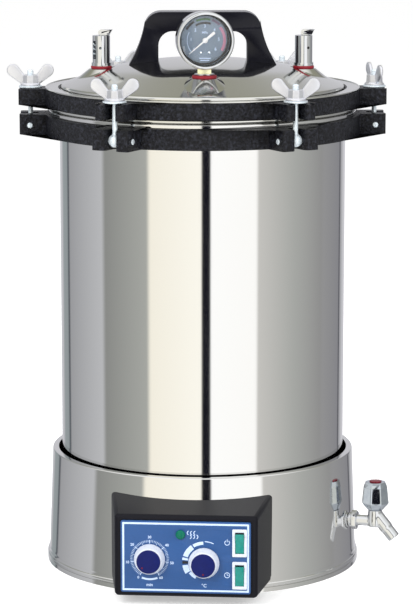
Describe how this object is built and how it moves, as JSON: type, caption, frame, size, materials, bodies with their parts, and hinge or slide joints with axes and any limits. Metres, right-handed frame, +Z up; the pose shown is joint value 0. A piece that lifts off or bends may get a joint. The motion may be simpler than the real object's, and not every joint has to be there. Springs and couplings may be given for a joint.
{
  "type": "portable autoclave",
  "caption": "Portable pressure steriliser: steel chamber on a round heated base, clamped domed lid with gauge, valves and handle, lift-out basket, control panel and drain tap.",
  "frame": {"origin": "centre of the foot on the floor", "axes": "+Z up, -Y towards the front where the control panel is, +X to the right seen from the front"},
  "size_m": [0.3967, 0.3885, 0.5649],
  "materials": {
    "polished_steel": "mirror polished stainless steel",
    "sheet_steel": "plain stainless sheet",
    "cast_ring": "black textured paint on cast aluminium",
    "zinc": "bright zinc plate",
    "white_zinc": "pale matt zinc casting",
    "chrome_trim": "chrome plate",
    "bakelite": "glossy black phenolic",
    "silicone_red": "red silicone rubber",
    "silicone_white": "white silicone rubber",
    "brass": "turned brass",
    "dial_face": "printed dial",
    "clear_glass": "clear window",
    "white_enamel": "white paint",
    "black_box": "satin black paint",
    "blue_panel": "blue printed panel",
    "blue_knob": "moulded dark blue plastic",
    "grey_plastic": "moulded grey plastic",
    "white_plastic": "moulded white plastic",
    "green_rocker": "translucent green plastic",
    "green_lens": "green lamp lens",
    "red_cap": "moulded red plastic",
    "black_plastic": "moulded black plastic"
  },
  "bodies": {
    "base": {"base_skirt": "polished_steel", "base_plate": "sheet_steel", "base_screws": "zinc", "vessel": "polished_steel", "heater_element": "sheet_steel", "drain_pipe": "brass", "support_rack": "sheet_steel", "lower_clamp_ring": "cast_ring", "clamp_pins": "zinc", "control_box": "black_box", "control_panel": "blue_panel", "timer_unit": "grey_plastic", "thermostat_unit": "grey_plastic", "switch_housings": "white_plastic", "indicator_lamp": "green_lens", "cable_gland": "black_plastic", "tap_body": "chrome_trim"},
    "lid": {"lid_dome": "polished_steel", "upper_clamp_ring": "cast_ring", "lid_gasket": "silicone_white", "lid_handle": "bakelite", "handle_screws": "zinc", "gauge_case": "chrome_trim", "gauge_stem": "brass", "gauge_dial": "dial_face", "gauge_glass": "clear_glass", "safety_valve_body": "chrome_trim", "safety_valve_spring": "zinc", "release_valve_body": "chrome_trim", "fitting_washers": "silicone_red", "exhaust_hose": "chrome_trim"},
    "basket": {"basket": "sheet_steel"},
    "bail": {"basket_bail": "zinc"},
    "eye_bolt_1": {"eye_bolt_1": "zinc"},
    "clamp_washer_1": {"clamp_washer_1": "zinc"},
    "wing_nut_1": {"wing_nut_1": "white_zinc"},
    "eye_bolt_2": {"eye_bolt_2": "zinc"},
    "clamp_washer_2": {"clamp_washer_2": "zinc"},
    "wing_nut_2": {"wing_nut_2": "white_zinc"},
    "eye_bolt_3": {"eye_bolt_3": "zinc"},
    "clamp_washer_3": {"clamp_washer_3": "zinc"},
    "wing_nut_3": {"wing_nut_3": "white_zinc"},
    "eye_bolt_4": {"eye_bolt_4": "zinc"},
    "clamp_washer_4": {"clamp_washer_4": "zinc"},
    "wing_nut_4": {"wing_nut_4": "white_zinc"},
    "eye_bolt_5": {"eye_bolt_5": "zinc"},
    "clamp_washer_5": {"clamp_washer_5": "zinc"},
    "wing_nut_5": {"wing_nut_5": "white_zinc"},
    "eye_bolt_6": {"eye_bolt_6": "zinc"},
    "clamp_washer_6": {"clamp_washer_6": "zinc"},
    "wing_nut_6": {"wing_nut_6": "white_zinc"},
    "gauge_pointer": {"gauge_pointer": "white_enamel"},
    "safety_lever": {"safety_valve_lever": "chrome_trim"},
    "release_lever": {"release_valve_lever": "chrome_trim"},
    "timer_knob": {"timer_knob": "blue_knob"},
    "thermostat_knob": {"thermostat_knob": "blue_knob"},
    "power_rocker": {"power_rocker": "green_rocker"},
    "timer_rocker": {"timer_rocker": "green_rocker"},
    "tap_wheel": {"tap_handle": "chrome_trim", "tap_cap": "red_cap"}
  },
  "joints": [
    {"name": "lid_lift", "type": "slide", "parent": "base", "child": "lid", "axis": [0, 0, 1], "range_m": [0, 0.8]},
    {"name": "basket_lift", "type": "slide", "parent": "base", "child": "basket", "axis": [0, 0, 1], "range_m": [0, 0.4]},
    {"name": "bail_swing", "type": "hinge", "parent": "basket", "child": "bail", "pos_m": [0, 0, 0.3771], "axis": [-0.0976, 0.9952, 0], "range_deg": [0, 90]},
    {"name": "eye_bolt_swing_1", "type": "hinge", "parent": "base", "child": "eye_bolt_1", "pos_m": [0.10013, -0.13985, 0.445], "axis": [-0.8131, -0.5821, 0], "range_deg": [-170, 0]},
    {"name": "washer_lift_1", "type": "slide", "parent": "eye_bolt_1", "child": "clamp_washer_1", "axis": [0, 0, 1], "range_m": [0, 0.8]},
    {"name": "nut_spin_1", "type": "hinge", "parent": "clamp_washer_1", "child": "wing_nut_1", "pos_m": [0.10013, -0.13985, 0.4831], "axis": [0, 0, 1], "continuous": true},
    {"name": "eye_bolt_swing_2", "type": "hinge", "parent": "base", "child": "eye_bolt_2", "pos_m": [0.17118, 0.01678, 0.445], "axis": [0.0976, -0.9952, 0], "range_deg": [-170, 0]},
    {"name": "washer_lift_2", "type": "slide", "parent": "eye_bolt_2", "child": "clamp_washer_2", "axis": [0, 0, 1], "range_m": [0, 0.8]},
    {"name": "nut_spin_2", "type": "hinge", "parent": "clamp_washer_2", "child": "wing_nut_2", "pos_m": [0.17118, 0.01678, 0.4831], "axis": [0, 0, 1], "continuous": true},
    {"name": "eye_bolt_swing_3", "type": "hinge", "parent": "base", "child": "eye_bolt_3", "pos_m": [0.07105, 0.15664, 0.445], "axis": [0.9107, -0.4131, 0], "range_deg": [-170, 0]},
    {"name": "washer_lift_3", "type": "slide", "parent": "eye_bolt_3", "child": "clamp_washer_3", "axis": [0, 0, 1], "range_m": [0, 0.8]},
    {"name": "nut_spin_3", "type": "hinge", "parent": "clamp_washer_3", "child": "wing_nut_3", "pos_m": [0.07105, 0.15664, 0.4831], "axis": [0, 0, 1], "continuous": true},
    {"name": "eye_bolt_swing_4", "type": "hinge", "parent": "base", "child": "eye_bolt_4", "pos_m": [-0.10013, 0.13985, 0.445], "axis": [0.8131, 0.5821, 0], "range_deg": [-170, 0]},
    {"name": "washer_lift_4", "type": "slide", "parent": "eye_bolt_4", "child": "clamp_washer_4", "axis": [0, 0, 1], "range_m": [0, 0.8]},
    {"name": "nut_spin_4", "type": "hinge", "parent": "clamp_washer_4", "child": "wing_nut_4", "pos_m": [-0.10013, 0.13985, 0.4831], "axis": [0, 0, 1], "continuous": true},
    {"name": "eye_bolt_swing_5", "type": "hinge", "parent": "base", "child": "eye_bolt_5", "pos_m": [-0.17118, -0.01678, 0.445], "axis": [-0.0976, 0.9952, 0], "range_deg": [-170, 0]},
    {"name": "washer_lift_5", "type": "slide", "parent": "eye_bolt_5", "child": "clamp_washer_5", "axis": [0, 0, 1], "range_m": [0, 0.8]},
    {"name": "nut_spin_5", "type": "hinge", "parent": "clamp_washer_5", "child": "wing_nut_5", "pos_m": [-0.17118, -0.01678, 0.4831], "axis": [0, 0, 1], "continuous": true},
    {"name": "eye_bolt_swing_6", "type": "hinge", "parent": "base", "child": "eye_bolt_6", "pos_m": [-0.07105, -0.15664, 0.445], "axis": [-0.9107, 0.4131, 0], "range_deg": [-170, 0]},
    {"name": "washer_lift_6", "type": "slide", "parent": "eye_bolt_6", "child": "clamp_washer_6", "axis": [0, 0, 1], "range_m": [0, 0.8]},
    {"name": "nut_spin_6", "type": "hinge", "parent": "clamp_washer_6", "child": "wing_nut_6", "pos_m": [-0.07105, -0.15664, 0.4831], "axis": [0, 0, 1], "continuous": true},
    {"name": "pointer_turn", "type": "hinge", "parent": "lid", "child": "gauge_pointer", "pos_m": [0.00986, -0.10052, 0.53686], "axis": [-0.2011, 0.9796, 0], "range_deg": [0, 270]},
    {"name": "safety_lever_lift", "type": "hinge", "parent": "lid", "child": "safety_lever", "pos_m": [-0.10052, -0.00986, 0.53596], "axis": [0, -1, 0], "range_deg": [0, 90]},
    {"name": "release_lever_lift", "type": "hinge", "parent": "lid", "child": "release_lever", "pos_m": [0.10052, 0.00986, 0.53596], "axis": [0, -1, 0], "range_deg": [0, 90]},
    {"name": "timer_turn", "type": "hinge", "parent": "base", "child": "timer_knob", "pos_m": [-0.0347, -0.202, 0.04755], "axis": [0, 1, 0], "range_deg": [0, 300]},
    {"name": "thermostat_turn", "type": "hinge", "parent": "base", "child": "thermostat_knob", "pos_m": [0.0177, -0.202, 0.04475], "axis": [0, 1, 0], "range_deg": [0, 300]},
    {"name": "power_switch", "type": "hinge", "parent": "base", "child": "power_rocker", "pos_m": [0.0519, -0.2015, 0.06495], "axis": [1, 0, 0], "range_deg": [-16, 0]},
    {"name": "timer_switch", "type": "hinge", "parent": "base", "child": "timer_rocker", "pos_m": [0.0519, -0.2015, 0.03295], "axis": [1, 0, 0], "range_deg": [-16, 0]},
    {"name": "tap_turn", "type": "hinge", "parent": "base", "child": "tap_wheel", "pos_m": [0.17767, -0.03939, 0.06], "axis": [0, 0, 1], "range_deg": [0, 360]}
  ],
  "couplings": [
    {"joint": "basket_lift", "follows": "lid_lift", "ratio": 0.5},
    {"joint": "washer_lift_1", "follows": "lid_lift", "ratio": 1},
    {"joint": "washer_lift_2", "follows": "lid_lift", "ratio": 1},
    {"joint": "washer_lift_3", "follows": "lid_lift", "ratio": 1},
    {"joint": "washer_lift_4", "follows": "lid_lift", "ratio": 1},
    {"joint": "washer_lift_5", "follows": "lid_lift", "ratio": 1},
    {"joint": "washer_lift_6", "follows": "lid_lift", "ratio": 1}
  ]
}
